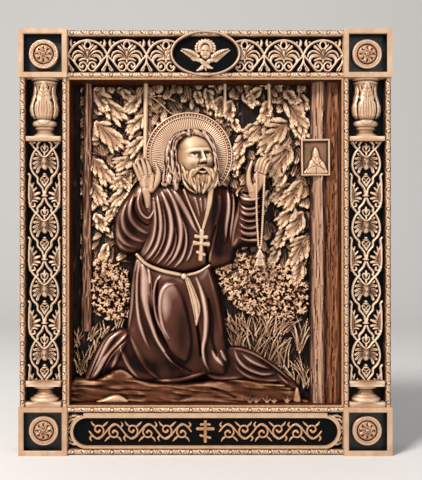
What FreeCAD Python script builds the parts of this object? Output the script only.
"""A carved wooden icon for a wall or a shelf: a joined frame of corner blocks, stiles and rails with gilt carving on
a black ground, round a deep relief of a kneeling saint in a forest.

X runs to the right, Y from the viewer into the wall and Z up. The origin is under the middle of the bottom edge, half
way through the depth. Lengths are in millimetres.
"""

import FreeCAD, Part
import math
import os
import re

import Sketcher
from FreeCAD import Placement, Rotation, Vector

doc = FreeCAD.newDocument("carved_icon")
sheet = doc.addObject("Spreadsheet::Sheet", "sizes")
layout = doc.addObject("App::FeaturePython", "layout")
kept = {}

# Driving dimensions

SIZES = {
    # frame members
    "icon_width": 280,
    "icon_height": 320,
    "icon_depth": 38,
    "member_width": 36.2,
    "ground_setback": 8.5,
    "edge_chamfer": 0.6,
    "panel_setback": 20,
    "panel_thickness": 8,
    "panel_rebate": 5,
    "board_thickness": 4,
    "board_rebate": 13,
    "seat_clearance": 0.25,
    "cut_overrun": 2,
    # sight edge strips
    "liner_thickness": 1.3,
    "liner_setback": 2.4,
    # corner blocks and their turned rosettes
    "block_rim": 3.8,
    "block_field_depth": 6.5,
    "rosette_radius": 11.2,
    "rosette_thickness": 5.2,
    "rosette_petal_radius": 1.1,
    "rosette_petal_depth": 1.4,
    # carved bead mouldings
    "outer_bead_width": 4.8,
    "inner_bead_width": 4.3,
    "bead_setback": 1.4,
    "bead_crown": 1.1,
    # half-turned vases and pedestals
    "vase_height": 47.6,
    "vase_radius": 12.3,
    "pedestal_height": 19.8,
    "pedestal_radius": 12.7,
    "plinth_height": 3.6,
    "plinth_thickness": 8.2,
    "turning_inset": 4.5,
    "moulding_clearance": 0.3,
    # fretwork laid on the black ground
    "fret_thickness": 4,
    "fret_band": 1.15,
    "frieze_count": 7,
    "pilaster_period": 47.9,
    "pilaster_first_drop": 13.7,
    # oval medallion with its cherub
    "medallion_half_width": 26.6,
    "medallion_half_height": 17.4,
    "medallion_ring_width": 2.1,
    "medallion_ring_height": 8.2,
    "medallion_plate_height": 4.4,
    "cherub_thickness": 3.6,
    "cherub_head_radius": 3.7,
    "wing_thickness": 2.2,
    # tablet on the bottom rail
    "tablet_half_width": 101.5,
    "tablet_shoulder": 91.6,
    "tablet_upper_band": 3.5,
    "tablet_lower_band": 1.7,
    "tablet_rim": 1.9,
    "tablet_height": 6.4,
    "tablet_plate_height": 3.6,
    "tablet_ornament_height": 1.2,
    "tablet_stem_width": 1.1,
    # carved relief
    "trunk_far_relief": 5,
    "trunk_near_relief": 12,
    "bark_ridge": 0.8,
    "bough_thickness": 2.6,
    "bush_thickness": 5,
    "leaf_thickness": 1.6,
    "grass_thickness": 3,
    "rock_relief": 9,
    "pebble_relief": 7,
    "halo_radius": 33.6,
    "halo_thickness": 5,
    "halo_rim_width": 3.2,
    "halo_rim_height": 1,
    "robe_relief": 13,
    "train_relief": 9,
    "sleeve_relief": 15,
    "hand_relief": 15,
    "head_relief": 17.4,
    "hair_relief": 15.5,
    "beard_relief": 17,
    "trim_thickness": 1.4,
    "cross_width": 12,
    "cross_height": 17,
    "tree_icon_width": 22.4,
    "tree_icon_height": 28,
    "tree_icon_rim": 1.5,
    "tree_icon_thickness": 3.4,
    "tree_icon_recess": 1.6,
    # dowels and screws
    "dowel_radius": 3,
    "dowel_length": 20,
    "dowel_edge": 8,
    "dowel_pitch": 11,
    "dowel_setback": 24,
    "hole_clearance": 0.05,
    "screw_radius": 1.6,
    "screw_length": 15,
    "screw_head_radius": 3.2,
    "screw_head_height": 2,
    "screw_edge": 6.5,
    "screw_spread": 120,
    "screw_slot_width": 0.8,
    "screw_slot_depth": 0.7,
    # hanger on the back board
    "hanger_drop": 62,
    "strap_width": 12,
    "strap_length": 30,
    "strap_thickness": 1,
    "knuckle_radius": 2,
    "knuckle_bore": 1.08,
    "knuckle_width": 9,
    "ring_wire_radius": 1,
    "ring_width": 20,
    "ring_length": 17,
    "hanger_screw_radius": 1.25,
    "hanger_screw_head_radius": 2.6,
    "hanger_screw_head_height": 0.9,
    "hanger_screw_depth": 3.4,
    "hanger_screw_pitch": 13,
}

for row, (name, value) in enumerate(SIZES.items(), start=1):
    sheet.set(f"A{row}", name)
    sheet.set(f"B{row}", str(value))
    sheet.setAlias(f"B{row}", name)
doc.recompute()

# Places that follow from the sizes, each a formula

PLACES = {
    "front": "-icon_depth / 2",
    "back": "icon_depth / 2",
    "ground": "front + ground_setback",
    "bead_front": "front + bead_setback",
    "liner_front": "front + liner_setback",
    "panel_face": "front + panel_setback",
    "board_face": "panel_face + panel_thickness",
    "board_back": "board_face + board_thickness",
    "half_width": "icon_width / 2",
    "opening_half": "half_width - member_width",
    "opening_low": "member_width",
    "opening_high": "icon_height - member_width",
    "opening_mid": "icon_height / 2",
    "sight_half": "opening_half - liner_thickness",
    "sight_low": "opening_low + liner_thickness",
    "sight_high": "opening_high - liner_thickness",
    "stile_length": "icon_height - 2 * member_width",
    "rail_length": "icon_width - 2 * member_width",
    "field_width": "member_width - outer_bead_width - inner_bead_width",
    "field_middle": "half_width - outer_bead_width - field_width / 2",
    "top_field_middle": "icon_height - outer_bead_width - field_width / 2",
    "block_middle": "half_width - member_width / 2",
    "pilaster_top": "opening_high - vase_height",
    "pilaster_low": "opening_low + pedestal_height",
    "tablet_low": "outer_bead_width + moulding_clearance",
    "tablet_high": "member_width - inner_bead_width - moulding_clearance",
    "dowel_depth": "front + dowel_setback",
    "strap_back": "board_back + strap_thickness",
    "knuckle_middle": "board_back + knuckle_radius",
    "ring_pivot_height": "icon_height - hanger_drop",
}


def formula(text):
    """The text with each size and place written as the cell or property that holds it."""
    def full(word):
        if word.group() in SIZES:
            return "sizes." + word.group()
        return "layout." + word.group() if word.group() in PLACES else word.group()
    return re.sub(r"[a-z_]+", full, text)


for name, text in PLACES.items():
    layout.addProperty("App::PropertyFloat", name)
    layout.setExpression(name, formula(text))
doc.recompute()


def mm(name):
    """The number that a size or place holds."""
    return float(getattr(sheet if name in SIZES else layout, name))


# Makers of plain pieces, with every size a formula

def bind(item, prop, text):
    item.setExpression(prop, formula(text))


def placed(item, corner):
    for axis, text in zip("xyz", corner):
        bind(item, f"Placement.Base.{axis}", text)
    return item


def box(name, lengths, corner):
    """A box by its lengths along X, Y and Z and its lowest corner."""
    item = doc.addObject("Part::Box", name)
    for prop, text in zip(("Length", "Width", "Height"), lengths):
        bind(item, prop, text)
    return placed(item, corner)


def rod(name, radius, length, start, axis):
    """A cylinder from a start point along an axis."""
    item = doc.addObject("Part::Cylinder", name)
    bind(item, "Radius", radius)
    bind(item, "Height", length)
    item.Placement = Placement(Vector(), Rotation(Vector(0, 0, 1), axis))
    return placed(item, start)


def joined(name, items):
    item = doc.addObject("Part::MultiFuse", name)
    item.Shapes = items
    return item


def cut(name, base, tool):
    item = doc.addObject("Part::Cut", name)
    item.Base = base
    item.Tool = tool
    return item


def piece(item, label):
    """Keeps an object as the sub-part of that name."""
    item.Label = label
    kept[label] = item
    return item


def body(name):
    return doc.addObject("PartDesign::Body", name)


def plane(owner, role):
    return next(f for f in owner.Origin.OriginFeatures if f.Role == role)


def sketch(owner, name, role, shift=None):
    """A sketch on one of its body's own planes, moved along the plane's normal by a formula."""
    item = owner.newObject("Sketcher::SketchObject", name)
    item.AttachmentSupport = [(plane(owner, role), "")]
    item.MapMode = "FlatFace"
    if shift:
        bind(item, "AttachmentOffset.Base.z", shift)
    return item


def number(text):
    """A formula's value, read from a property of the layout."""
    if "probe" not in layout.PropertiesList:
        layout.addProperty("App::PropertyFloat", "probe")
    layout.setExpression("probe", formula(text))
    layout.recompute()
    return float(layout.probe)


def pin_point(item, geometry, position, at):
    """Ties one point of a sketch to two formulas."""
    for kind, text in zip(("DistanceX", "DistanceY"), at):
        index = item.addConstraint(Sketcher.Constraint(kind, -1, 1, geometry, position, number(text)))
        item.setExpression(f"Constraints[{index}]", formula(text))


def flat_arc(start, middle, end):
    """The arc through three points of a sketch, counter-clockwise as a sketch keeps it."""
    circle = Part.Circle(start, middle, end)
    turn = (middle - start).cross(end - middle).z
    ends = (start, end) if turn > 0 else (end, start)
    first, last = [math.atan2(at.y - circle.Center.y, at.x - circle.Center.x) for at in ends]
    if last < first:
        last += 2 * math.pi
    return Part.ArcOfCircle(Part.Circle(circle.Center, Vector(0, 0, 1), circle.Radius), first, last)


def outline(item, steps):
    """A closed outline in a sketch. Each step is an end point, or a middle and an end point for an arc."""
    ends = [step[-1] for step in steps]
    spots = [Vector(number(at[0]), number(at[1]), 0) for at in ends]
    for index, step in enumerate(steps):
        start, end = spots[index - 1], spots[index]
        if len(step) == 1:
            item.addGeometry(Part.LineSegment(start, end))
        else:
            middle = Vector(number(step[0][0]), number(step[0][1]), 0)
            item.addGeometry(flat_arc(start, middle, end))
    first, last = [], []
    for index in range(len(steps)):
        shape = item.Geometry[index]
        forward = (shape.StartPoint - spots[index - 1]).Length <= (shape.EndPoint - spots[index - 1]).Length
        first.append(1 if forward else 2)
        last.append(2 if forward else 1)
    for index, step in enumerate(steps):
        item.addConstraint(
            Sketcher.Constraint("Coincident", index - 1 if index else len(steps) - 1, last[index - 1], index, first[index])
        )
    for index, step in enumerate(steps):
        pin_point(item, index, last[index], ends[index])
        if len(step) == 2:
            middle = item.addGeometry(Part.Point(Vector(number(step[0][0]), number(step[0][1]), 0)), True)
            item.addConstraint(Sketcher.Constraint("PointOnObject", middle, 1, index))
            pin_point(item, middle, 1, step[0])
    return item


def rectangle(item, low, high):
    """An upright rectangle in a sketch, from its low corner to its high one."""
    (left, bottom), (right, top) = low, high
    return outline(item, [[(right, bottom)], [(right, top)], [(left, top)], [(left, bottom)]])


def pad(owner, name, profile, length):
    item = owner.newObject("PartDesign::Pad", name)
    item.Profile = profile
    bind(item, "Length", length)
    return item


def pocket(owner, name, profile, length):
    item = owner.newObject("PartDesign::Pocket", name)
    item.Profile = profile
    bind(item, "Length", length)
    return item


def revolve(owner, name, profile):
    item = owner.newObject("PartDesign::Revolution", name)
    item.Profile = profile
    item.ReferenceAxis = (profile, ["V_Axis"])
    item.Angle = 360
    return item


def front_edges(feature, reach):
    """Names of the straight edges in a feature's front face that reach that far from its middle at most."""
    shape = feature.Shape
    nearest = shape.BoundBox.YMin
    middle = shape.BoundBox.Center
    names = []
    for index, edge in enumerate(shape.Edges, start=1):
        box_of = edge.BoundBox
        far = max(abs(box_of.Center.x - middle.x), abs(box_of.Center.z - middle.z))
        if box_of.YMax - nearest < mm("edge_chamfer") / 2 and far <= reach:
            names.append(f"Edge{index}")
    return names


# Frame members: what is cut from all of them is one tool

def dowel_places():
    """Start point and direction of every dowel, with formulas for its place."""
    places = []
    for side in ("-", ""):
        for step in range(2):
            across = f"{side or '+'}(half_width - dowel_edge - {step} * dowel_pitch)"
            for joint in ("opening_low", "opening_high"):
                places.append(((across, "dowel_depth", joint), Vector(0, 0, 1)))
        for step in range(2):
            joint = f"{side or '+'}opening_half"
            low_place = f"dowel_edge + {step} * dowel_pitch"
            for height in (low_place, f"icon_height - dowel_edge - {step} * dowel_pitch"):
                places.append(((joint, "dowel_depth", height), Vector(1, 0, 0)))
    return places


def dowel_start(place, axis, half):
    """The place moved back by a half length along the axis."""
    across, depth, height = place
    if axis.z:
        return across, depth, f"{height} - {half}"
    return f"{across} - {half}", depth, height


def screw_places():
    """Middle of every back board screw, as formulas across and up."""
    places = []
    for side in ("-", ""):
        for end in ("-", ""):
            across = f"{side or '+'}(opening_half + screw_edge)"
            places.append((across, f"opening_mid {end or '+'} screw_spread / 2"))
            height = "opening_high + screw_edge" if end else "opening_low - screw_edge"
            places.append((f"{side or '+'}screw_spread / 2", height))
    return places


panel_space = box(
    "panel_space",
    ("rail_length + 2 * panel_rebate", "back - panel_face + cut_overrun", "stile_length + 2 * panel_rebate"),
    ("-opening_half - panel_rebate", "panel_face", "opening_low - panel_rebate"),
)
board_space = box(
    "board_space",
    ("rail_length + 2 * board_rebate", "back - board_face + cut_overrun", "stile_length + 2 * board_rebate"),
    ("-opening_half - board_rebate", "board_face", "opening_low - board_rebate"),
)
holes = []
for index, (place, axis) in enumerate(dowel_places()):
    length = "dowel_length + 2 * hole_clearance"
    start = dowel_start(place, axis, "(dowel_length / 2 + hole_clearance)")
    holes.append(rod(f"dowel_hole_{index}", "dowel_radius + hole_clearance", length, start, axis))
for index, (across, height) in enumerate(screw_places()):
    start = (across, "board_back - screw_length - hole_clearance", height)
    length = "screw_length + hole_clearance"
    holes.append(rod(f"pilot_{index}", "screw_radius + hole_clearance", length, start, Vector(0, 1, 0)))
frame_cutouts = joined("frame_cutouts", [panel_space, board_space, *holes])


def member(label, lengths, corner):
    stock = box(label + "_stock", lengths, corner)
    return piece(cut(label + "_cut", stock, frame_cutouts), label)


member_depth = "icon_depth - ground_setback"
member("left_stile", ("member_width", member_depth, "stile_length"), ("-half_width", "ground", "opening_low"))
stile_size = ("member_width", member_depth, "stile_length")
member("right_stile", stile_size, ("opening_half", "ground", "opening_low"))
member("top_rail", ("rail_length", member_depth, "member_width"), ("-opening_half", "ground", "opening_high"))
member("bottom_rail", ("rail_length", member_depth, "member_width"), ("-opening_half", "ground", "0"))


def corner_block(label, across, height):
    """A square block with a sunk square field in its front, its middle at that place."""
    owner = body(label + "_body")
    face = rectangle(
        sketch(owner, label + "_face", "XZ_Plane"),
        ("-member_width / 2", "-member_width / 2"), ("member_width / 2", "member_width / 2"),
    )
    pad(owner, label + "_block", face, "icon_depth")
    half = "(member_width / 2 - block_rim)"
    field = rectangle(
        sketch(owner, label + "_field", "XZ_Plane", "icon_depth"), (f"-{half}", f"-{half}"), (half, half)
    )
    sunk = pocket(owner, label + "_recess", field, "block_field_depth")
    doc.recompute()
    rounded = owner.newObject("PartDesign::Chamfer", label + "_arris")
    rounded.Base = (sunk, front_edges(sunk, mm("member_width") / 2))
    bind(rounded, "Size", "edge_chamfer")
    placed(owner, (across, "back", height))
    return piece(cut(label + "_cut", owner, frame_cutouts), label)


for level, height in (("top", "icon_height - member_width / 2"), ("bottom", "member_width / 2")):
    for side, across in (("left", "-block_middle"), ("right", "block_middle")):
        corner_block(f"corner_block_{level}_{side}", across, height)

PETALS = 8
PETAL_PLACE_SHARE = 0.42
ROSETTE_SHARES = [
    # radius and height, as shares of the rosette's radius and thickness; a pair of points is an arc
    [(1, 0)],
    [(1, 0.45)],
    [(0.96, 0.72), (0.86, 0.8)],
    [(0.78, 0.78), (0.72, 0.6)],
    [(0.68, 0.5)],
    [(0.64, 0.84), (0.5, 0.92)],
    [(0.28, 1.0), (0, 1.0)],
    [(0, 0)],
]


def turned_steps(shares, radius, length, flip=False):
    """Outline steps for a turning whose radii and places along its axis are shares of two sizes."""
    sign = "-" if flip else ""
    return [[(f"{r} * {radius}", f"{sign}{at} * {length}") for r, at in step] for step in shares]


def rosette(label, across, height):
    """A turned button with a ring of eight sunk petals, seated in its block's field."""
    owner = body(label + "_body")
    profile = outline(
        sketch(owner, label + "_profile", "XY_Plane"),
        turned_steps(ROSETTE_SHARES, "rosette_radius", "rosette_thickness", flip=True),
    )
    revolve(owner, label + "_turning", profile)
    petal = sketch(owner, label + "_petal", "XZ_Plane", "rosette_thickness")
    middle = Vector(mm("rosette_radius") * PETAL_PLACE_SHARE, 0, 0)
    petal.addGeometry(Part.Circle(middle, Vector(0, 0, 1), mm("rosette_petal_radius")))
    radius = petal.addConstraint(Sketcher.Constraint("Radius", 0, mm("rosette_petal_radius")))
    petal.setExpression(f"Constraints[{radius}]", formula("rosette_petal_radius"))
    pin_point(petal, 0, 3, (f"{PETAL_PLACE_SHARE} * rosette_radius", "0"))
    sunk = pocket(owner, label + "_petal_hollow", petal, "rosette_petal_depth")
    ring = owner.newObject("PartDesign::PolarPattern", label + "_petals")
    ring.Originals = [sunk]
    ring.Axis = (petal, ["N_Axis"])
    ring.Occurrences = PETALS
    owner.Tip = ring
    return placed(owner, (across, "front + block_field_depth", height))


rosettes = []
for level, height in (("top", "icon_height - member_width / 2"), ("bottom", "member_width / 2")):
    for side, across in (("left", "-block_middle"), ("right", "block_middle")):
        rosettes.append(rosette(f"rosette_{level}_{side}", across, height))
rosette_set = doc.addObject("Part::Compound", "rosette_set")
rosette_set.Links = rosettes
piece(rosette_set, "corner_rosettes")

# Oval medallion in the middle of the top rail

def oval(name, half_width, half_height, start, length):
    """An upright elliptical pad that comes forward from a start depth, in the middle of the top rail."""
    owner = body(name)
    face = sketch(owner, name + "_outline", "XZ_Plane")
    wide, tall = number(half_width), number(half_height)
    face.addGeometry(Part.Ellipse(Vector(wide, 0, 0), Vector(0, tall, 0), Vector(0, 0, 0)))
    face.exposeInternalGeometry(0)
    for index, line in enumerate(face.Geometry):
        if isinstance(line, Part.LineSegment):
            upright = abs(line.StartPoint.x - line.EndPoint.x) < abs(line.StartPoint.y - line.EndPoint.y)
            span = face.addConstraint(Sketcher.Constraint("Distance", index, 2 * (tall if upright else wide)))
            face.setExpression(f"Constraints[{span}]", formula(f"2 * ({half_height if upright else half_width})"))
            if not upright:
                face.addConstraint(Sketcher.Constraint("Horizontal", index))
    pin_point(face, 0, 3, ("0", "0"))
    pad(owner, name + "_pad", face, length)
    placed(owner, ("0", start, "icon_height - member_width / 2"))
    return owner


ring_stock = oval(
    "ring_stock", "medallion_half_width", "medallion_half_height", "ground", "medallion_ring_height"
)
ring_hollow = oval(
    "ring_hollow", "medallion_half_width - medallion_ring_width",
    "medallion_half_height - medallion_ring_width",
    "ground + cut_overrun", "medallion_ring_height + 2 * cut_overrun",
)
piece(cut("medallion_ring_cut", ring_stock, ring_hollow), "medallion_ring")
# a plate has this share of the usual clearance in its ring
PLATE_CLEARANCE_SHARE = 0.2
plate_edge = f"(medallion_ring_width + seat_clearance * {PLATE_CLEARANCE_SHARE})"
medallion_plate = oval(
    "medallion_plate_body", f"medallion_half_width - {plate_edge}", f"medallion_half_height - {plate_edge}",
    "ground", "medallion_plate_height",
)
piece(medallion_plate, "medallion_plate")
medallion_space = oval(
    "medallion_space", "medallion_half_width + seat_clearance", "medallion_half_height + seat_clearance",
    "ground + cut_overrun", "ground_setback + 2 * cut_overrun",
)

# Bead mouldings along the members

def bead(label, width, length, place, turn, tool=None):
    """A crowned strip on the black ground, its foot on the ground and its length along local Z."""
    owner = body(label + "_body")
    crown = "bead_front - ground + bead_crown"
    section = outline(
        sketch(owner, label + "_section", "XY_Plane"),
        [
            [(width, "0")],
            [(width, crown)],
            [(f"{width} / 2", "bead_front - ground"), ("0", crown)],
            [("0", "0")],
        ],
    )
    pad(owner, label + "_strip", section, length)
    owner.Placement = Placement(Vector(), turn)
    placed(owner, place)
    if tool:
        return piece(cut(label + "_cut", owner, tool), label)
    return piece(owner, label)


UPRIGHT = Rotation()
LEVEL = Rotation(Vector(0, 1, 0), 90)
for side, outer_at, inner_at in (
    ("left", "-half_width", "-opening_half - inner_bead_width"),
    ("right", "half_width - outer_bead_width", "opening_half"),
):
    for kind, across in (("outer", outer_at), ("inner", inner_at)):
        start = (across, "ground", "opening_low")
        bead(f"{kind}_bead_{side}", f"{kind}_bead_width", "stile_length", start, UPRIGHT)
for level, outer_at, inner_at, tool in (
    ("top", "icon_height - outer_bead_width", "opening_high", medallion_space),
    ("bottom", "0", "opening_low - inner_bead_width", None),
):
    for kind, height in (("outer", outer_at), ("inner", inner_at)):
        start = ("-opening_half", "ground", f"{height} + {kind}_bead_width")
        bead(f"{kind}_bead_{level}", f"{kind}_bead_width", "rail_length", start, LEVEL, tool)

# Sight edge: four mitred strips that line the opening down to the relief

def liner_strip(name, steps):
    owner = body(name)
    strip = outline(sketch(owner, name + "_outline", "XZ_Plane"), steps)
    pad(owner, name + "_pad", strip, "panel_face - liner_front")
    return placed(owner, ("0", "panel_face", "0"))


OUTER_CORNERS = [
    ("-opening_half", "opening_low"), ("opening_half", "opening_low"),
    ("opening_half", "opening_high"), ("-opening_half", "opening_high"),
]
INNER_CORNERS = [
    ("-sight_half", "sight_low"), ("sight_half", "sight_low"),
    ("sight_half", "sight_high"), ("-sight_half", "sight_high"),
]
strips = []
for index, side in enumerate(("bottom", "right", "top", "left")):
    following = (index + 1) % len(OUTER_CORNERS)
    corners = [OUTER_CORNERS[index], OUTER_CORNERS[following], INNER_CORNERS[following], INNER_CORNERS[index]]
    strips.append(liner_strip(f"sight_strip_{side}", [[corner] for corner in corners]))
strip_set = doc.addObject("Part::Compound", "strip_set")
strip_set.Links = strips
piece(strip_set, "sight_edge_strips")

# Half-turned vases and pedestals on the stiles

VASE_SHARES = [
    [(0, 0)],
    [(0.98, 0)],
    [(0.7, 0.07), (0.57, 0.17)],
    [(0.68, 0.18)],
    [(0.68, 0.215)],
    [(0.81, 0.22)],
    [(0.87, 0.265), (0.79, 0.31)],
    [(0.68, 0.32)],
    [(0.99, 0.46), (0.88, 0.62)],
    [(0.76, 0.76), (0.74, 0.9)],
    [(0.85, 0.905)],
    [(0.9, 0.93), (0.85, 0.955)],
    [(0.94, 0.96)],
    [(0.98, 0.98), (0.94, 1)],
    [(0, 1)],
]
PEDESTAL_SHARES = [
    [(0, 0)],
    [(1, 0)],
    [(1.01, 0.13), (0.93, 0.28)],
    [(0.66, 0.42), (0.56, 0.6)],
    [(0.58, 0.72), (0.84, 0.86)],
    [(0.9, 0.87)],
    [(0.98, 0.94), (0.9, 1)],
    [(0, 1)],
]


def half_turning(label, shares, radius, length, start, across):
    """A turning whose axis lies behind the ground, with the part behind the ground sawn off."""
    owner = body(label + "_turning_body")
    profile = outline(sketch(owner, label + "_profile", "XZ_Plane"), turned_steps(shares, radius, length))
    revolve(owner, label + "_turning", profile)
    placed(owner, (across, "ground + turning_inset", start))
    waste = box(
        label + "_waste", (f"4 * {radius}", f"2 * {radius} + turning_inset", f"{length} + 2 * cut_overrun"),
        (f"{across} - 2 * {radius}", "ground", f"{start} - cut_overrun"),
    )
    return cut(label + "_half", owner, waste)


def with_plinth(label, turning, across, start):
    slab = box(
        label + "_slab", ("field_width - 2 * moulding_clearance", "plinth_thickness", "plinth_height"),
        (f"{across} - field_width / 2 + moulding_clearance", "ground - plinth_thickness", start),
    )
    return piece(joined(label + "_joined", [turning, slab]), label)


for side, across in (("left", "-field_middle"), ("right", "field_middle")):
    label = f"vase_{side}"
    turned = half_turning(
        label, VASE_SHARES, "vase_radius", "(vase_height - plinth_height)", "pilaster_top + plinth_height", across
    )
    with_plinth(label, turned, across, "pilaster_top")
    label = f"pedestal_{side}"
    turned = half_turning(
        label, PEDESTAL_SHARES, "pedestal_radius", "(pedestal_height - plinth_height)", "opening_low", across
    )
    with_plinth(label, turned, across, "pilaster_low - plinth_height")

# Carving: outlines in the plane of the front, given their depth by extruding them

CURVE_STEPS = 3


def spline(points):
    curve = Part.BSplineCurve()
    curve.interpolate(points)
    return curve


def polygon(points):
    """A flat shape with straight sides."""
    corners = [Vector(x, 0, z) for x, z in points]
    return Part.Face(Part.makePolygon(corners + corners[:1]))


def disc(x, z, half_width, half_height):
    """A flat elliptical shape."""
    across, up = Vector(half_width, 0, 0), Vector(0, 0, half_height)
    major, minor = (across, up) if half_width > half_height else (up, across)
    shape = Part.Ellipse(major, minor, Vector(0, 0, 0)).toShape()
    shape.translate(Vector(x, 0, z))
    return Part.Face(Part.Wire([shape]))


def blade(points, halves):
    """A flat shape that follows a curve at a half width for each of its points."""
    spine = spline([Vector(x, 0, z) for x, z in points])
    stops = [spine.parameter(Vector(x, 0, z)) for x, z in points]
    left, right = [], []
    for index in range(len(points) - 1):
        for step in range(CURVE_STEPS + (index == len(points) - 2)):
            share = step / CURVE_STEPS
            at = stops[index] + (stops[index + 1] - stops[index]) * share
            half = halves[index] + (halves[index + 1] - halves[index]) * share
            along = spine.tangent(at)[0]
            aside = Vector(-along.z, 0, along.x) * half
            left.append(spine.value(at) + aside)
            right.append(spine.value(at) - aside)
    return polygon([(corner.x, corner.z) for corner in left + right[::-1]])


def union(shapes):
    """One shape out of overlapping solids."""
    whole = shapes[0] if len(shapes) == 1 else shapes[0].multiFuse(shapes[1:])
    return whole.removeSplitter()


def raised(flats, low, high):
    """Flat shapes given their depth and joined where they overlap."""
    solids = []
    for flat in flats:
        lifted = flat.copy()
        lifted.translate(Vector(0, low, 0))
        solids.append(lifted.extrude(Vector(0, high - low, 0)))
    return union(solids)


def bar(x, z, half_width, half_height):
    """A flat upright rectangle about its middle."""
    left, right, low, high = x - half_width, x + half_width, z - half_height, z + half_height
    return polygon([(left, low), (right, low), (right, high), (left, high)])


def faceted(points, low, steps):
    """A carved mass in flat facets. Each step is a share of the outline and how far it stands forward."""
    base = [Vector(x, low, z) for x, z in points]
    middle = sum(base, Vector()) * (1 / len(base))
    rings = [[middle + (point - middle) * share - Vector(0, rise, 0) for point in base] for share, rise in steps]
    faces = [Part.Face(Part.makePolygon(ring + ring[:1])) for ring in (rings[0], rings[-1])]
    for lower, upper in zip(rings, rings[1:]):
        for index, point in enumerate(lower):
            corners = [point, lower[index - 1], upper[index - 1], upper[index], point]
            faces.append(Part.Face(Part.makePolygon(corners)))
    solid = Part.Solid(Part.Shell(faces))
    if solid.Volume < 0:
        solid.reverse()
    return solid


SHOULDER_RISE_SHARE = 0.62
DOME_SIDES = 16
DOME_STEPS = 5


def pillow(points, low, relief, crown_share=0.7, shoulder_share=0.93):
    """A carved mass whose outline draws in a little to a shoulder, and then to a flat crown."""
    return faceted(points, low, [(1, 0), (shoulder_share, relief * SHOULDER_RISE_SHARE), (crown_share, relief)])


def dome(x, z, half_width, half_height, low, relief):
    """Half an egg that stands forward from a depth."""
    turns = [2 * math.pi * side / DOME_SIDES for side in range(DOME_SIDES)]
    points = [(x + half_width * math.cos(turn), z + half_height * math.sin(turn)) for turn in turns]
    rises = [math.pi / 2 * step / DOME_STEPS for step in range(DOME_STEPS)]
    return faceted(points, low, [(math.cos(rise), relief * math.sin(rise)) for rise in rises])


CHIP_SHARE = 0.02


def clear_of(shape, others):
    """The shape without what its neighbours fill, and without chips."""
    near = [other for other in others if other.BoundBox.intersect(shape.BoundBox)]
    if near:
        shape = shape.cut(Part.makeCompound(near))
    volume = max(solid.Volume for solid in shape.Solids)
    solids = [solid for solid in shape.Solids if solid.Volume > volume * CHIP_SHARE]
    return solids[0] if len(solids) == 1 else Part.makeCompound(solids)


def carved(label, shape, others=()):
    """Keeps a carved shape, cut clear of its neighbours, as a sub-part, and gives it back."""
    item = doc.addObject("Part::Feature", label)
    item.Shape = clear_of(shape, others)
    piece(item, label)
    return item.Shape


def mirrored(points):
    return [(-x, z) for x, z in points]


# Fretwork of palmettes, in shares of the field's width and of the repeat

GROUND = mm("ground")
FRET_FRONT = GROUND - mm("fret_thickness")
BAND = mm("fret_band")
CLEAR = mm("moulding_clearance")

PILASTER_STEM_SHARES = [
    (0.46, -0.21), (0.465, -0.42), (0.45, -0.58), (0.36, -0.69), (0.22, -0.79), (0.02, -0.9),
]
PILASTER_BAND_SHARES = [
    (0.03, -0.53), (0.12, -0.63), (0.2, -0.7), (0.23, -0.77), (0.32, -0.83), (0.42, -0.963), (0.4, -1.112),
    (0.245, -1.239), (0.2, -1.314), (0.07, -1.411), (0.03, -1.5),
]
PILASTER_LOBE_SHARES = [
    # tip, and half width at the middle
    ((0.2, 0.16), 0.035), ((0.29, 0.08), 0.035), ((0.32, 0.0), 0.035), ((0.29, -0.08), 0.035),
    ((0.19, -0.15), 0.035),
]
PILASTER_LEAF_SHARES = [
    (0.48, -0.2), (0.4, -0.32), (0.29, -0.4), (0.33, -0.44), (0.14, -0.455), (0.27, -0.51), (0.14, -0.56),
    (0.28, -0.6), (0.22, -0.66), (0.36, -0.66), (0.47, -0.56),
]
PILASTER_BUD_SHARES = [(0, -0.63), (0.07, -0.69), (0.05, -0.74), (0.09, -0.77), (0, -0.84)]
PILASTER_HEART_SHARES = [(0, -0.4), (0.08, -0.3), (0.05, -0.25), (0, -0.28)]
PILASTER_OVAL_SHARES = [
    # height of the middle, half width and half height
    (0, 0.1, 0.13), (-0.51, 0.1, 0.035),
]


def pilaster_unit(width, period):
    """One repeat of the upright fretwork round a palmette over the origin."""
    def at(shares):
        return [(x * width, z * period) for x, z in shares]
    shapes = []
    for turn in (list, mirrored):
        for shares in (PILASTER_STEM_SHARES, PILASTER_BAND_SHARES):
            shapes.append(blade(turn(at(shares)), [BAND / 2] * len(shares)))
        shapes.append(polygon(turn(at(PILASTER_LEAF_SHARES))))
        for tip, half in PILASTER_LOBE_SHARES:
            line = turn(at([(0, 0), (tip[0] / 2, tip[1] / 2), tip]))
            shapes.append(blade(line, [BAND, half * width, BAND / 2]))
    for height, half_width, half_height in PILASTER_OVAL_SHARES:
        shapes.append(disc(0, height * period, half_width * width, half_height * period))
    for shares in (PILASTER_BUD_SHARES, PILASTER_HEART_SHARES):
        points = at(shares)
        shapes.append(polygon(points + mirrored(points)[-2:0:-1]))
    return raised(shapes, FRET_FRONT, GROUND)


def repeated(shape, step, count):
    copies = []
    for index in range(count):
        copy = shape.copy()
        copy.translate(step * index)
        copies.append(copy)
    return union(copies)


def pilaster(width, low, high):
    """The fretwork between a pedestal and a vase, clipped to the field that it lies in."""
    period = mm("pilaster_period")
    count = math.ceil((high - low) / period) + 2
    fret = repeated(pilaster_unit(width, period), Vector(0, 0, -period), count)
    fret.translate(Vector(0, 0, high - mm("pilaster_first_drop") + period))
    field = bar(0, (low + high) / 2, width / 2 - CLEAR, (high - low) / 2)
    return fret.common(raised([field], FRET_FRONT, GROUND))


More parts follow.
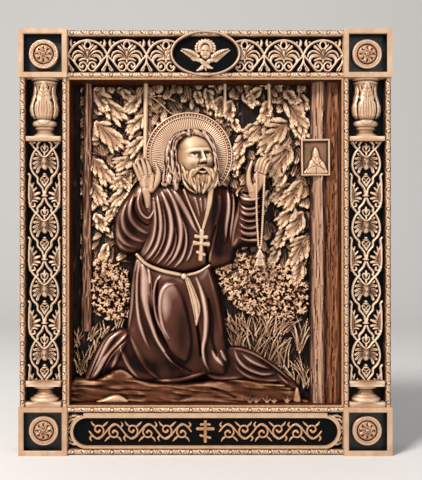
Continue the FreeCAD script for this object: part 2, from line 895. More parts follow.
pilaster_fret = pilaster(mm("field_width"), mm("pilaster_low") + CLEAR, mm("pilaster_top") - CLEAR)
for side, across in (("left", -mm("field_middle")), ("right", mm("field_middle"))):
    strip = pilaster_fret.copy()
    strip.translate(Vector(across, 0, 0))
    carved(f"pilaster_fretwork_{side}", strip)

FRIEZE_ARCH_SHARES = [
    (-0.5, 0.02), (-0.42, 0.24), (-0.24, 0.41), (0, 0.47), (0.24, 0.41), (0.42, 0.24), (0.5, 0.02),
]
FRIEZE_LOBE_SHARES = [
    # spine from the heart to the tip, and half widths as shares of the band
    ([(0, 0), (0.07, 0.18), (0.18, 0.34)], (0.8, 0.9, 0.5)),
    ([(0, 0), (0.17, 0.14), (0.3, 0.11), (0.39, 0.0)], (0.8, 1.0, 0.9, 0.4)),
    ([(0, -0.02), (0.14, 0.04), (0.26, 0.02), (0.32, -0.1)], (0.8, 1.3, 1.2, 0.4)),
    ([(0, -0.03), (0.04, -0.12), (0.02, -0.26), (0.13, -0.4), (0.25, -0.28), (0.2, -0.17), (0.11, -0.22)],
     (0.8, 0.6, 0.5, 0.5, 0.5, 0.5, 0.8)),
    ([(0.5, -0.02), (0.45, -0.18), (0.36, -0.36), (0.3, -0.42)], (0.7, 0.6, 0.5, 0.6)),
    ([(0.25, -0.28), (0.32, -0.22), (0.42, -0.12), (0.5, 0.0)], (0.5, 0.5, 0.5, 0.6)),
    ([(0.5, -0.02), (0.48, -0.2), (0.44, -0.4)], (0.7, 0.8, 0.5)),
]
FRIEZE_OVAL_SHARES = [
    # middle across and up, half width and half height
    (0, 0.3, 0.1, 0.13), (0, 0.02, 0.07, 0.17), (0.5, 0, 0.05, 0.06), (-0.5, 0, 0.05, 0.06),
]
FRIEZE_LOOP_SHARE = 0.55


def frieze_unit(period, tall):
    """One repeat of the level fretwork round a palmette's heart at the origin."""
    def at(shares):
        return [(x * period, z * tall) for x, z in shares]
    shapes = [blade(at(FRIEZE_ARCH_SHARES), [BAND / 2] * len(FRIEZE_ARCH_SHARES))]
    for turn in (list, mirrored):
        for shares, halves in FRIEZE_LOBE_SHARES:
            shapes.append(blade(turn(at(shares)), [half * BAND for half in halves]))
    for x, z, half_width, half_height in FRIEZE_OVAL_SHARES:
        shapes.append(disc(x * period, z * tall, half_width * period, half_height * tall))
    z, half_width, half_height = FRIEZE_OVAL_SHARES[0][1:]
    hollow = disc(0, z * tall, half_width * period * FRIEZE_LOOP_SHARE, half_height * tall * FRIEZE_LOOP_SHARE)
    return raised(shapes, FRET_FRONT, GROUND).cut(raised([hollow], FRET_FRONT - BAND, GROUND + BAND))


def frieze(period, tall, count):
    """A run of the level fretwork, its left end over the origin."""
    fret = repeated(frieze_unit(period, tall), Vector(period, 0, 0), count)
    fret.translate(Vector(period / 2, 0, 0))
    half_run = period * count / 2
    return fret.common(raised([bar(half_run, 0, half_run - CLEAR, tall / 2 - CLEAR)], FRET_FRONT, GROUND))


medallion_height = mm("icon_height") - mm("member_width") / 2
MEDALLION_WIDE, MEDALLION_TALL = mm("medallion_half_width"), mm("medallion_half_height")
medallion_flat = disc(0, medallion_height, MEDALLION_WIDE + CLEAR, MEDALLION_TALL + CLEAR)
side_count = int(mm("frieze_count")) // 2
frieze_period = mm("rail_length") / mm("frieze_count")
frieze_fret = frieze(frieze_period, mm("field_width"), side_count)
for side, start in (("left", -mm("opening_half")), ("right", mm("opening_half") - side_count * frieze_period)):
    run = frieze_fret.copy()
    run.translate(Vector(start, 0, mm("top_field_middle")))
    carved(f"frieze_fretwork_{side}", run, [raised([medallion_flat], FRET_FRONT - BAND, GROUND + BAND)])

# Winged cherub on the medallion

CHERUB_WING_SHARES = [
    # shares of the medallion's half width and half height, for the right wing
    (0.1, -0.3), (0.2, 0.05), (0.36, 0.22), (0.55, 0.24), (0.76, 0.14), (0.62, 0.02), (0.52, -0.1),
    (0.4, -0.18),
    (0.36, -0.32), (0.24, -0.4), (0.2, -0.56),
]
CHERUB_LOWER_WING_SHARES = [
    (-0.12, -0.3), (0.1, -0.3), (0.2, -0.52), (0.24, -0.66), (0.1, -0.6), (-0.02, -0.64),
]
CHERUB_CURLS_SHARES = (0.27, 0.4)
CHERUB_TALL_SHARE = 1.35
PLATE_FRONT = GROUND - mm("medallion_plate_height")
WING_FRONT = PLATE_FRONT - mm("wing_thickness")


def on_medallion(shares, flip):
    return [(flip * x * MEDALLION_WIDE, medallion_height + z * MEDALLION_TALL) for x, z in shares]


def cherub():
    """A round head on its disc of curls, with two pairs of wings."""
    radius = mm("cherub_head_radius")
    wide, tall = CHERUB_CURLS_SHARES
    shapes = [disc(0, medallion_height, wide * MEDALLION_WIDE, tall * MEDALLION_TALL)]
    for flip in (1, -1):
        for shares in (CHERUB_WING_SHARES, CHERUB_LOWER_WING_SHARES):
            shapes.append(polygon(on_medallion(shares, flip)))
    wings = raised(shapes, WING_FRONT, PLATE_FRONT)
    face = dome(0, medallion_height, radius, radius * CHERUB_TALL_SHARE, PLATE_FRONT, mm("cherub_thickness"))
    return wings.fuse(face)


carved("cherub", cherub())

# Tablet on the bottom rail: a gilt surround, its black plate and a scroll ornament

tablet_low, tablet_high = mm("tablet_low"), mm("tablet_high")
field_low, field_high = tablet_low + mm("tablet_lower_band"), tablet_high - mm("tablet_upper_band")
field_radius = (field_high - field_low) / 2
field_height = (field_high + field_low) / 2
arc_centre = mm("tablet_half_width") - mm("tablet_rim") - field_radius
tablet_middle = (tablet_low + tablet_high) / 2
tablet_half = (tablet_high - tablet_low) / 2


def stadium(radius):
    """A flat level slot shape with round ends, centred on the tablet."""
    low, high = field_height - radius, field_height + radius
    right_end = Vector(arc_centre + radius, 0, field_height)
    left_end = Vector(-arc_centre - radius, 0, field_height)
    right = Part.Arc(Vector(arc_centre, 0, low), right_end, Vector(arc_centre, 0, high))
    left = Part.Arc(Vector(-arc_centre, 0, high), left_end, Vector(-arc_centre, 0, low))
    top = Part.LineSegment(Vector(arc_centre, 0, high), Vector(-arc_centre, 0, high))
    bottom = Part.LineSegment(Vector(-arc_centre, 0, low), Vector(arc_centre, 0, low))
    return Part.Face(Part.Wire([line.toShape() for line in (right, top, left, bottom)]))


surround_front = GROUND - mm("tablet_height")
shoulders = bar(0, tablet_middle, mm("tablet_shoulder"), tablet_half)
whole_band = raised([bar(0, tablet_middle, mm("tablet_half_width"), tablet_half)], surround_front, GROUND)
surround = raised([shoulders, stadium(field_radius + mm("tablet_rim"))], surround_front, GROUND)
surround = surround.common(whole_band)
field_space = raised([stadium(field_radius)], surround_front - BAND, GROUND + BAND)
carved("tablet_surround", surround, [field_space])
plate_inset = mm("seat_clearance") * PLATE_CLEARANCE_SHARE
tablet_front = GROUND - mm("tablet_plate_height")
carved("tablet_plate", raised([stadium(field_radius - plate_inset)], tablet_front, GROUND))

TABLET_WAVE_SHARES = [(-0.5, 0), (-0.25, 0.26), (0, 0), (0.25, -0.26), (0.5, 0)]
TABLET_CURL_SHARES = [
    (-0.3, 0.25), (-0.1, 0.05), (-0.12, -0.2), (-0.27, -0.24), (-0.33, -0.08), (-0.25, -0.02),
]
TABLET_CROSS_SHARES = [((0, 0), (0.09, 0.36)), ((0, 0.1), (0.3, 0.08)), ((0, 0.28), (0.16, 0.06))]
TABLET_WAVES = 3


def tablet_ornament():
    """A running scroll each side of a small cross, in strokes of one width."""
    tall = 2 * field_radius
    half = mm("tablet_stem_width") / 2
    repeat = (arc_centre - field_radius) / TABLET_WAVES
    shapes = []
    for side in (1, -1):
        for step in range(TABLET_WAVES):
            middle = side * (field_radius + repeat * (step + 0.5))

            def at(shares, turn=1):
                return [(middle + side * turn * x * repeat, field_height + turn * z * tall) for x, z in shares]
            shapes.append(blade(at(TABLET_WAVE_SHARES), [half] * len(TABLET_WAVE_SHARES)))
            for turn in (1, -1):
                curl = at(TABLET_CURL_SHARES, turn)
                shapes.append(blade(curl, [half] * (len(curl) - 1) + [2 * half]))
    for (x, z), (half_width, half_height) in TABLET_CROSS_SHARES:
        shapes.append(bar(x * tall, field_height + z * tall, half_width * tall, half_height * tall))
    return raised(shapes, tablet_front - mm("tablet_ornament_height"), tablet_front)


carved("tablet_ornament", tablet_ornament())

TIE_SHARE = 0.4
SPANDREL_UPPER_SHARES = [(0.1, 0.42), (0.26, 0.4), (0.4, 0.34), (0.3, 0.25), (0.15, 0.2), (0.08, 0.3)]
SPANDREL_LOWER_SHARES = [(0.08, -0.1), (0.14, -0.28), (0.4, -0.4), (0.2, -0.42), (0.06, -0.3)]


def spandrels():
    """The leaves beside the tablet's round ends and the ties that hold them to the corner blocks."""
    outer = mm("opening_half") - CLEAR
    tie = mm("tablet_stem_width")
    shapes = []
    for side in (1, -1):
        for shares in (SPANDREL_UPPER_SHARES, SPANDREL_LOWER_SHARES):
            points = [(side * (outer - x * field_radius), tablet_middle + 2 * z * tablet_half) for x, z in shares]
            shapes.append(polygon(points))
        for level in (1, -1):
            middle = side * (outer - field_radius / 2)
            shapes.append(bar(middle, tablet_middle + level * tie, field_radius / 2, tie * TIE_SHARE))
    return raised(shapes, tablet_front, GROUND)


carved("tablet_spandrels", spandrels(), [surround])

# The relief. Its outlines are chosen on the picture, in pixels, and laid on the opening.

OPENING_LEFT_PX, OPENING_RIGHT_PX = 68.1, 342.3
OPENING_TOP_PX, OPENING_BOTTOM_PX = 80.3, 405.4
DEPTH_SPREAD_SHARE = 1.03
PANEL = mm("panel_face")
OPENING_WIDE, OPENING_TALL = 2 * mm("sight_half"), mm("sight_high") - mm("sight_low")
across_scale = OPENING_WIDE / (OPENING_RIGHT_PX - OPENING_LEFT_PX) * DEPTH_SPREAD_SHARE
up_scale = OPENING_TALL / (OPENING_BOTTOM_PX - OPENING_TOP_PX) * DEPTH_SPREAD_SHARE


def spot(px, py):
    """A place on the relief, across and up, for a pixel of the picture."""
    x = (px - (OPENING_LEFT_PX + OPENING_RIGHT_PX) / 2) * across_scale
    z = mm("opening_mid") + ((OPENING_TOP_PX + OPENING_BOTTOM_PX) / 2 - py) * up_scale
    return x, z


def spots(pixels):
    return [spot(px, py) for px, py in pixels]


panel_body = body("relief_panel_body")
panel_outline = rectangle(
    sketch(panel_body, "relief_panel_outline", "XZ_Plane"),
    ("-opening_half - panel_rebate + seat_clearance", "opening_low - panel_rebate + seat_clearance"),
    ("opening_half + panel_rebate - seat_clearance", "opening_high + panel_rebate - seat_clearance"),
)
pad(panel_body, "relief_panel_pad", panel_outline, "panel_thickness")
piece(placed(panel_body, ("0", "board_face", "0")), "relief_panel")

ROBE_PX = [
    (160, 192), (178, 196), (205, 194), (222, 192), (240, 206), (246, 232), (240, 262), (232, 290),
    (232, 320),
    (240, 348), (262, 372), (225, 384), (170, 380), (134, 362), (128, 335), (132, 300), (137, 275),
    (140, 258),
    (134, 240), (140, 214),
]
SLEEVE_RIGHT_PX = [
    (138, 194), (152, 196), (160, 212), (158, 236), (150, 256), (134, 262), (118, 252), (112, 236),
    (120, 214),
]
SLEEVE_LEFT_PX = [
    (240, 200), (254, 192), (266, 198), (268, 216), (264, 240), (250, 256), (236, 250), (238, 224),
]
TRAIN_PX = [(84, 378), (96, 354), (112, 330), (127, 328), (132, 346), (136, 364), (124, 374), (104, 376)]
HAIR_PX = [
    (180, 128), (196, 127), (208, 132), (215, 146), (217, 166), (210, 178), (190, 180), (176, 192),
    (168, 186),
    (164, 172), (166, 150), (170, 138),
]
HEAD_PX = (193.5, 153.5)
HEAD_HALF_PX = (14.5, 19)
BEARD_PX = [(182, 166), (194, 160), (210, 164), (218, 176), (212, 190), (198, 196), (186, 190), (181, 178)]
HAND_RIGHT_PX = [
    (144, 197), (139, 185), (134, 170), (135, 162), (142, 158), (152, 163), (158, 170), (157, 184),
    (150, 197),
]
HAND_LEFT_PX = [
    (248, 196), (246, 182), (247, 168), (252, 160), (262, 157), (271, 158), (272, 168), (266, 182),
    (258, 197),
]
HALO_PX = (188.9, 155.9)
ROCK_PX = [
    (72, 384), (100, 378), (140, 380), (200, 384), (240, 372), (262, 352), (286, 366), (300, 384), (304, 400),
    (280, 405), (200, 405), (120, 405), (76, 404),
]
PEBBLE_PX = [(97, 402), (104, 396), (114, 394), (124, 397), (128, 402), (114, 404)]
BELT_PX = [(139, 258), (150, 267), (166, 274), (184, 276), (202, 273), (218, 264)]
BELT_ENDS_PX = [(184, 278), (190, 294), (196, 312), (198, 326)]
COLLAR_RIGHT_PX = [(181, 196), (188, 212), (195, 226), (200, 234)]
COLLAR_LEFT_PX = [(212, 192), (210, 210), (206, 224), (201, 234)]
CROSS_PX = (201, 247)
ROSARY_PX = [(262, 170), (262, 196), (262, 222), (262, 250)]
TRUNKS_FAR_PX = [
    # left, right and bottom
    (82, 93, 335), (143, 149, 150),
]
TRUNK_NEAR_PX = (308, 340, 404)
TREE_ICON_PX = (315.4, 157.2)

ROBE_CROWN_SHARE = 0.62
ROBE_SHOULDER_SHARE = 0.95
HAND_DRAW_SHARES = (0.6, 0.85)
BEARD_DRAW_SHARES = (0.6, 0.88)
HAIR_CROWN_SHARE = 0.75
ROCK_CROWN_SHARE = 0.9
NEAR_RIDGES = 9
FAR_RIDGES = 4

# The kneeling figure, the front pieces first

sleeve_right = carved("sleeve_right", pillow(spots(SLEEVE_RIGHT_PX), PANEL, mm("sleeve_relief")))
sleeve_left = carved("sleeve_left", pillow(spots(SLEEVE_LEFT_PX), PANEL, mm("sleeve_relief")), [sleeve_right])
figure = [sleeve_right, sleeve_left]
gown = pillow(spots(ROBE_PX), PANEL, mm("robe_relief"), ROBE_CROWN_SHARE, ROBE_SHOULDER_SHARE)
train = pillow(spots(TRAIN_PX), PANEL, mm("train_relief"))
robe = carved("robe", gown.fuse(train), figure)
figure.append(robe)
for label, pixels in (("hand_right", HAND_RIGHT_PX), ("hand_left", HAND_LEFT_PX)):
    figure.append(carved(label, pillow(spots(pixels), PANEL, mm("hand_relief"), *HAND_DRAW_SHARES), figure))

halo_x, halo_z = spot(*HALO_PX)
halo_front = PANEL - mm("halo_thickness")


def halo_disc(radius, low, high):
    return Part.makeCylinder(radius, high - low, Vector(halo_x, low, halo_z), Vector(0, 1, 0))


rim_front = halo_front - mm("halo_rim_height")
halo_rim = halo_disc(mm("halo_radius"), rim_front, PANEL)
dish = halo_disc(mm("halo_radius") - mm("halo_rim_width"), rim_front - mm("cut_overrun"), halo_front)
halo = carved("halo", halo_rim.cut(dish), figure)
figure.append(halo)

head_x, head_z = spot(*HEAD_PX)
head_wide, head_tall = HEAD_HALF_PX[0] * across_scale, HEAD_HALF_PX[1] * up_scale
head_rise = mm("head_relief") - mm("halo_thickness")
figure.append(carved("head", dome(head_x, head_z, head_wide, head_tall, halo_front, head_rise), figure))
beard_rise, hair_rise = (mm(name) - mm("halo_thickness") for name in ("beard_relief", "hair_relief"))
figure.append(carved("beard", pillow(spots(BEARD_PX), halo_front, beard_rise, *BEARD_DRAW_SHARES), figure))
figure.append(carved("hair", pillow(spots(HAIR_PX), halo_front, hair_rise, HAIR_CROWN_SHARE), figure))

robe_crown = PANEL - mm("robe_relief")
TRIM = mm("trim_thickness")


def trim(points, half):
    """A flat strip of trim."""
    return blade(spots(points), [half] * len(points))


bands = [trim(pixels, TRIM) for pixels in (COLLAR_RIGHT_PX, COLLAR_LEFT_PX, BELT_PX, BELT_ENDS_PX)]
robe_bands = carved("robe_bands", raised(bands, robe_crown - TRIM, robe_crown), figure)
cross_x, cross_z = spot(*CROSS_PX)
CROSS_SHARES = [((0, 0), (0.09, 0.5)), ((0, 0.14), (0.5, 0.06)), ((0, 0.32), (0.28, 0.05))]
WIDE, TALL = mm("cross_width"), mm("cross_height")
bars = []
for (x, z), (half_x, half_z) in CROSS_SHARES:
    bars.append(bar(cross_x + x * WIDE, cross_z + z * TALL, half_x * WIDE, half_z * TALL))
carved("pectoral_cross", raised(bars, robe_crown - TRIM, robe_crown), [*figure, robe_bands])
rosary_front = PANEL - mm("sleeve_relief") - TRIM
figure.append(carved("rosary", raised([trim(ROSARY_PX, TRIM)], rosary_front, PANEL), figure))

# Rocks, trunks and the small icon on the near trunk

sight_clear = mm("seat_clearance")
within = Part.makeBox(
    OPENING_WIDE - 2 * sight_clear, mm("icon_depth"), OPENING_TALL - 2 * sight_clear,
    Vector(-OPENING_WIDE / 2 + sight_clear, mm("front"), mm("sight_low") + sight_clear),
)
rock = pillow(spots(ROCK_PX), PANEL, mm("rock_relief"), ROCK_CROWN_SHARE)
pebble = pillow(spots(PEBBLE_PX), PANEL, mm("pebble_relief"))
rock = carved("rock", rock.fuse(pebble).common(within), figure)
figure.append(rock)

icon_x, icon_z = spot(*TREE_ICON_PX)
ICON_SEAT_SHARE = 0.75
icon_back = PANEL - mm("trunk_near_relief") * ICON_SEAT_SHARE
icon_front = icon_back - mm("tree_icon_thickness")
recess_back = icon_front + mm("tree_icon_recess")
ICON_WIDE, ICON_TALL = mm("tree_icon_width") / 2, mm("tree_icon_height") / 2
ICON_RIM = mm("tree_icon_rim")
BUST_SUNK_SHARE = 0.25
ICON_BUST_SHARES = [
    (-0.64, -0.88), (-0.52, -0.24), (-0.24, 0.04), (-0.28, 0.44), (0, 0.68), (0.28, 0.44), (0.24, 0.04),
    (0.52, -0.24), (0.64, -0.88),
]
bust = polygon([(icon_x + x * ICON_WIDE, icon_z + z * ICON_TALL) for x, z in ICON_BUST_SHARES])
recess = bar(icon_x, icon_z, ICON_WIDE - ICON_RIM, ICON_TALL - ICON_RIM)
tree_icon = raised([bar(icon_x, icon_z, ICON_WIDE, ICON_TALL)], icon_front, icon_back)
tree_icon = tree_icon.cut(raised([recess], icon_front - mm("cut_overrun"), recess_back))
tree_icon = carved("tree_icon", tree_icon.fuse(raised([bust], icon_front + ICON_RIM * BUST_SUNK_SHARE, recess_back)))


def trunk(pixels, relief, ridges):
    """A half-round trunk with ridges of bark, from a height to the top of the opening."""
    left_px, right_px, bottom_px = pixels
    left, bottom = spot(left_px, bottom_px)
    right = spot(right_px, bottom_px)[0]
    middle, half = (left + right) / 2, (right - left) / 2
    section = [Vector(middle - half, PANEL, bottom)]
    steps = 2 * ridges
    for step in range(1, steps):
        angle = math.pi * step / steps
        rise = relief + (mm("bark_ridge") if step % 2 else 0)
        section.append(Vector(middle - half * math.cos(angle), PANEL - rise * math.sin(angle), bottom))
    section.append(Vector(middle + half, PANEL, bottom))
    solid = Part.Face(Part.makePolygon(section + section[:1])).extrude(Vector(0, 0, mm("icon_height")))
    return solid.common(within)


near_trunk = trunk(TRUNK_NEAR_PX, mm("trunk_near_relief"), NEAR_RIDGES)
near_trunk = carved("tree_trunk_near", near_trunk, [*figure, tree_icon])
far = [trunk(pixels, mm("trunk_far_relief"), FAR_RIDGES) for pixels in TRUNKS_FAR_PX]
far_trunks = carved("tree_trunks_far", Part.makeCompound(far), figure)
standing = [*figure, tree_icon, near_trunk, far_trunks]

# Undergrowth and boughs

BOUGHS_LEFT_PX = [
    # root, tip, half width and layer of each spruce bough
    ((96, 100), (78, 128), 9, 1), ((138, 96), (116, 124), 9, 1), ((140, 128), (118, 160), 9, 1),
    ((139, 160), (114, 190), 9, 1), ((98, 190), (112, 232), 9, 1), ((78, 150), (72, 190), 6, 1),
    ((98, 250), (116, 286), 8, 1), ((76, 230), (72, 280), 5, 1), ((94, 96), (124, 122), 11, 2),
    ((96, 128), (126, 150), 11, 2), ((94, 168), (120, 206), 8, 2), ((140, 186), (112, 222), 8, 2),
    ((96, 214), (112, 250), 9, 2),
]
BOUGHS_RIGHT_PX = [
    ((236, 92), (254, 120), 9, 1), ((262, 88), (282, 116), 9, 1), ((296, 96), (286, 126), 8, 1),
    ((240, 122), (256, 150), 8, 1), ((302, 200), (284, 236), 9, 1), ((262, 232), (292, 256), 8, 1),
    ((300, 130), (290, 160), 7, 1), ((232, 100), (210, 106), 6, 1), ((196, 88), (172, 100), 7, 1),
    ((296, 246), (286, 270), 7, 1), ((272, 104), (254, 146), 9, 2), ((298, 108), (276, 148), 9, 2),
    ((296, 146), (272, 190), 9, 2), ((304, 178), (278, 214), 9, 2), ((250, 130), (240, 166), 7, 2),
]
SERRATIONS = 4
NOTCH_SHARE = 0.66
TOOTH_RUN_SHARES = ((0.15, NOTCH_SHARE), (0.95, 1))
LAYER = mm("bough_thickness")


def bough(root, tip, half):
    """The flat jagged shape of a drooping spruce bough."""
    start, end = Vector(root[0], 0, root[1]), Vector(tip[0], 0, tip[1])
    along = end - start
    aside = Vector(along.z, 0, -along.x).normalize()
    left, right = [], []
    for step in range(SERRATIONS):
        for inner, share in TOOTH_RUN_SHARES:
            run = (step + inner) / SERRATIONS
            reach = half * share * math.sin(math.pi * (1 + 3 * run) / 4)
            left.append(start + along * run + aside * reach)
            right.append(start + along * run - aside * reach)
    return polygon([(corner.x, corner.z) for corner in (start, *left, end, *reversed(right))])


def boughs(rows):
    """Boughs on two layers: the front ones overhang the others and reach back to the panel."""
    shapes = [(bough(spot(*root), spot(*tip), half * across_scale), layer) for root, tip, half, layer in rows]
    back = raised([shape for shape, layer in shapes], PANEL - LAYER, PANEL)
    front = raised([shape for shape, layer in shapes if layer == 2], PANEL - 2 * LAYER, PANEL - LAYER)
    return union([back, front]).common(within)


for label, rows in (("spruce_boughs_left", BOUGHS_LEFT_PX), ("spruce_boughs_right", BOUGHS_RIGHT_PX)):
    standing.append(carved(label, boughs(rows), standing))

BUSHES_PX = [
    [(98, 272), (112, 264), (126, 268), (132, 284), (130, 304), (122, 318), (106, 316), (97, 300)],
    [
        (222, 260), (240, 252), (262, 258), (284, 276), (302, 292), (304, 312), (288, 318), (262, 314),
        (238, 306),
        (226, 286),
    ],
]
LEAF_CENTRES_PX = [
    (104, 278), (116, 274), (124, 284), (108, 290), (120, 296), (112, 304), (124, 308), (234, 264),
    (248, 262),
    (240, 276), (256, 274), (268, 280), (250, 290), (264, 294), (278, 288), (290, 298), (276, 304),
    (262, 308),
    (294, 310), (244, 302),
]
LEAF_RADIUS_PX = 4.2
LEAF_POINTS = 5
LEAF_WAIST_SHARE = 0.45


def leaf(x, z, radius):
    """A flat pointed leaf."""
    corners = []
    for step in range(2 * LEAF_POINTS):
        reach = radius * (1 if step % 2 else LEAF_WAIST_SHARE)
        angle = math.pi * step / LEAF_POINTS
        corners.append((x + reach * math.cos(angle), z + reach * math.sin(angle)))
    return polygon(corners)


bush_front = PANEL - mm("bush_thickness")
masses = raised([polygon(spots(pixels)) for pixels in BUSHES_PX], bush_front, PANEL)
leaf_flats = [leaf(*spot(*centre), LEAF_RADIUS_PX * across_scale) for centre in LEAF_CENTRES_PX]
leaves = raised(leaf_flats, bush_front - mm("leaf_thickness"), bush_front)
standing.append(carved("bushes", masses.fuse(leaves), standing))

GRASS_PX = [
    # foot and tips of each tuft
    ((84, 372), [(76, 332), (84, 328), (92, 332), (98, 338)]),
    ((246, 346), [(228, 316), (238, 310), (248, 312), (256, 318)]),
    ((272, 356), [(262, 318), (272, 314), (284, 320), (292, 330)]),
    ((296, 386), [(284, 346), (292, 336), (300, 340), (305, 350)]),
]
GRASS_HALF_PX = 3.2


def grass_tuft(foot, tips):
    """Blades that fan out from one foot."""
    half = GRASS_HALF_PX * across_scale
    shapes = []
    for tip in tips:
        points = spots([foot, ((foot[0] + tip[0]) / 2, (foot[1] + tip[1]) / 2 + GRASS_HALF_PX), tip])
        shapes.append(blade(points, [half, half, half / 4]))
    return raised(shapes, PANEL - mm("grass_thickness"), PANEL)


tufts = Part.makeCompound([grass_tuft(foot, tips) for foot, tips in GRASS_PX])
carved("grass", tufts.common(within), standing)

# Back: board, screws, dowels and the hanger

def screw_shape(radius, head_radius, head_height, length):
    """A slotted screw whose head's top is at the origin and whose point lies along -Y."""
    shank = Part.makeCylinder(radius, length, Vector(0, -length, 0), Vector(0, 1, 0))
    head = Part.makeCone(radius, head_radius, head_height, Vector(0, -head_height, 0), Vector(0, 1, 0))
    slot_width, slot_depth = mm("screw_slot_width"), mm("screw_slot_depth")
    slot_corner = Vector(-2 * head_radius, -slot_depth, -slot_width / 2)
    slot = Part.makeBox(4 * head_radius, 2 * slot_depth, slot_width, slot_corner)
    return shank.fuse(head).cut(slot)


board_stock = box(
    "board_stock",
    ("rail_length + 2 * (board_rebate - seat_clearance)", "board_thickness",
     "stile_length + 2 * (board_rebate - seat_clearance)"),

    ("-opening_half - board_rebate + seat_clearance", "board_face", "opening_low - board_rebate + seat_clearance"),
)
board_holes = []
for index, (across, height) in enumerate(screw_places()):
    board_holes.append(
        rod(f"board_hole_{index}", "screw_radius + hole_clearance", "board_thickness + 2 * cut_overrun",
            (across, "board_face - cut_overrun", height), Vector(0, 1, 0))
    )
    sink = doc.addObject("Part::Cone", f"board_sink_{index}")
    bind(sink, "Radius1", "screw_radius + hole_clearance")
    bind(sink, "Radius2", "screw_head_radius + hole_clearance")
    bind(sink, "Height", "screw_head_height")
    sink.Placement = Placement(Vector(), Rotation(Vector(0, 0, 1), Vector(0, 1, 0)))
    board_holes.append(placed(sink, (across, "board_back - screw_head_height", height)))
HANGER_SCREW_STEPS = ("0", "1")
STRAP_HOLE_SHARE = 0.3
# the cut beside the knuckle is a little wider than the strap's edge there
STRAP_TRIM_SHARE = 1.01
for index, step in enumerate(HANGER_SCREW_STEPS):
    height = f"ring_pivot_height + knuckle_radius + strap_length * {STRAP_HOLE_SHARE} + {step} * hanger_screw_pitch"
    board_holes.append(
        rod(f"hanger_pilot_{index}", "hanger_screw_radius + hole_clearance", "hanger_screw_depth + hole_clearance",
            ("0", "board_back - hanger_screw_depth - hole_clearance", height), Vector(0, 1, 0))
    )
piece(cut("back_board_cut", board_stock, joined("board_cutouts", board_holes)), "back_board")

screws = []
for across, height in screw_places():
    sizes = [mm(f"screw_{size}") for size in ("radius", "head_radius", "head_height", "length")]
    shape = screw_shape(*sizes)
    shape.translate(Vector(number(across), mm("board_back"), number(height)))
    screws.append(shape)
carved("back_board_screws", Part.makeCompound(screws))

dowels = []
for index, (place, axis) in enumerate(dowel_places()):
    start = dowel_start(place, axis, "dowel_length / 2")
    dowels.append(rod(f"dowel_{index}", "dowel_radius", "dowel_length", start, axis))
dowel_set = doc.addObject("Part::Compound", "dowel_set")
dowel_set.Links = dowels
piece(dowel_set, "frame_dowels")


def hanger_screw_height(step):
    """Height of a hanger screw."""
    first = mm("ring_pivot_height") + mm("knuckle_radius") + mm("strap_length") * STRAP_HOLE_SHARE
    return first + float(step) * mm("hanger_screw_pitch")


def hanger_strap():
    """The strap that is folded round the ring, with holes for its two screws."""
    pivot, middle = mm("ring_pivot_height"), mm("knuckle_middle")
    thick, wide = mm("strap_thickness"), mm("strap_width")
    plate = Part.makeBox(wide, thick, mm("strap_length"), Vector(-wide / 2, mm("board_back"), pivot))
    knuckle_wide = mm("knuckle_width")
    roll = Part.makeCylinder(
        mm("knuckle_radius"), knuckle_wide, Vector(-knuckle_wide / 2, middle, pivot), Vector(1, 0, 0)
    )
    bore = Part.makeCylinder(mm("knuckle_bore"), wide * 2, Vector(-wide, middle, pivot), Vector(1, 0, 0))
    strap = plate.fuse(roll)
    trim_width = (wide - knuckle_wide) / 2
    for side in (-1, 1):
        trim = trim_width * STRAP_TRIM_SHARE
        low = Vector(side * (knuckle_wide + trim_width) / 2 - trim / 2, mm("board_face"), pivot - thick)
        strap = strap.cut(Part.makeBox(trim, 2 * mm("knuckle_radius") + mm("board_thickness"),
                                       mm("knuckle_radius") * 2 + thick, low))
    strap = strap.cut(bore)
    for step in HANGER_SCREW_STEPS:
        hole_radius = mm("hanger_screw_radius") + mm("hole_clearance")
        low = Vector(0, mm("board_back") - thick / 2, hanger_screw_height(step))
        strap = strap.cut(Part.makeCylinder(hole_radius, 2 * thick, low, Vector(0, 1, 0)))
    return strap.removeSplitter()


RING_BEND_SHARE = 3


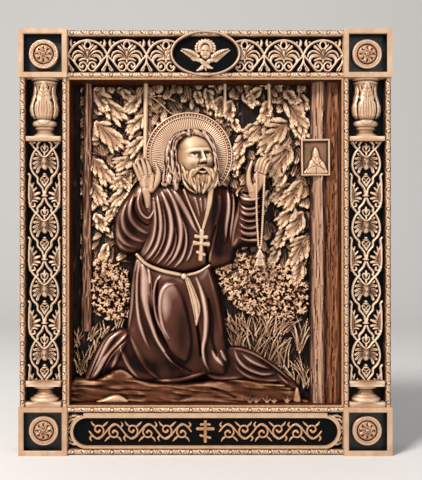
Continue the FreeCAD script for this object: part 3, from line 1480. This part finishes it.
def hanger_ring():
    """A ring of round wire bent to a D, its straight side in the knuckle. It hangs down at rest."""
    pivot, middle = mm("ring_pivot_height"), mm("knuckle_middle")
    wire, drop = mm("ring_wire_radius"), mm("ring_length")
    half = mm("ring_width") / 2 - wire
    bend = RING_BEND_SHARE * wire
    # a rounded rectangle above and a bow below
    corners = {
        "top_left": Vector(-half + bend, middle, pivot), "top_right": Vector(half - bend, middle, pivot),
        "side_right": Vector(half, middle, pivot - bend), "side_left": Vector(-half, middle, pivot - bend),
        "bow_right": Vector(half, middle, pivot - drop + half),
        "bow_left": Vector(-half, middle, pivot - drop + half),
    }
    diagonal = bend * (1 - math.sqrt(0.5))
    edges = [
        Part.LineSegment(corners["top_left"], corners["top_right"]),
        Part.Arc(corners["top_right"], Vector(half - diagonal, middle, pivot - diagonal), corners["side_right"]),
        Part.LineSegment(corners["side_right"], corners["bow_right"]),
        Part.Arc(corners["bow_right"], Vector(0, middle, pivot - drop), corners["bow_left"]),
        Part.LineSegment(corners["bow_left"], corners["side_left"]),
        Part.Arc(corners["side_left"], Vector(-half + diagonal, middle, pivot - diagonal), corners["top_left"]),
    ]
    path = Part.Wire([edge.toShape() for edge in edges])
    section = Part.Wire([Part.Circle(corners["top_left"], Vector(1, 0, 0), wire).toShape()])
    return path.makePipeShell([section], True, False)


carved("hanger_strap", hanger_strap())
carved("hanger_ring", hanger_ring())
hanger_screws = []
for step in HANGER_SCREW_STEPS:
    height = hanger_screw_height(step)
    head_height = mm("hanger_screw_head_height")
    shank_length = mm("hanger_screw_depth") + mm("strap_thickness")
    shank_low = Vector(0, mm("board_back") - mm("hanger_screw_depth"), height)
    shank = Part.makeCylinder(mm("hanger_screw_radius"), shank_length, shank_low, Vector(0, 1, 0))
    head_shape = Part.makeCylinder(
        mm("hanger_screw_head_radius"), head_height, Vector(0, mm("strap_back"), height), Vector(0, 1, 0)
    )
    hanger_screws.append(shank.fuse(head_shape))
carved("hanger_screws", Part.makeCompound(hanger_screws))

# Check and write every sub-part

doc.recompute()
for item in doc.Objects:
    if "Invalid" in item.State or "Error" in item.State:
        raise RuntimeError(f"{item.Name} failed: {item.State}")
os.makedirs("parts", exist_ok=True)
for label, item in kept.items():
    shape = item.Shape
    if shape.isNull() or not shape.isValid() or not shape.Solids:
        raise RuntimeError(f"{label} has no valid shape")
    shape.exportStep(f"parts/{label}.step")
print(len(kept), "sub-parts written")
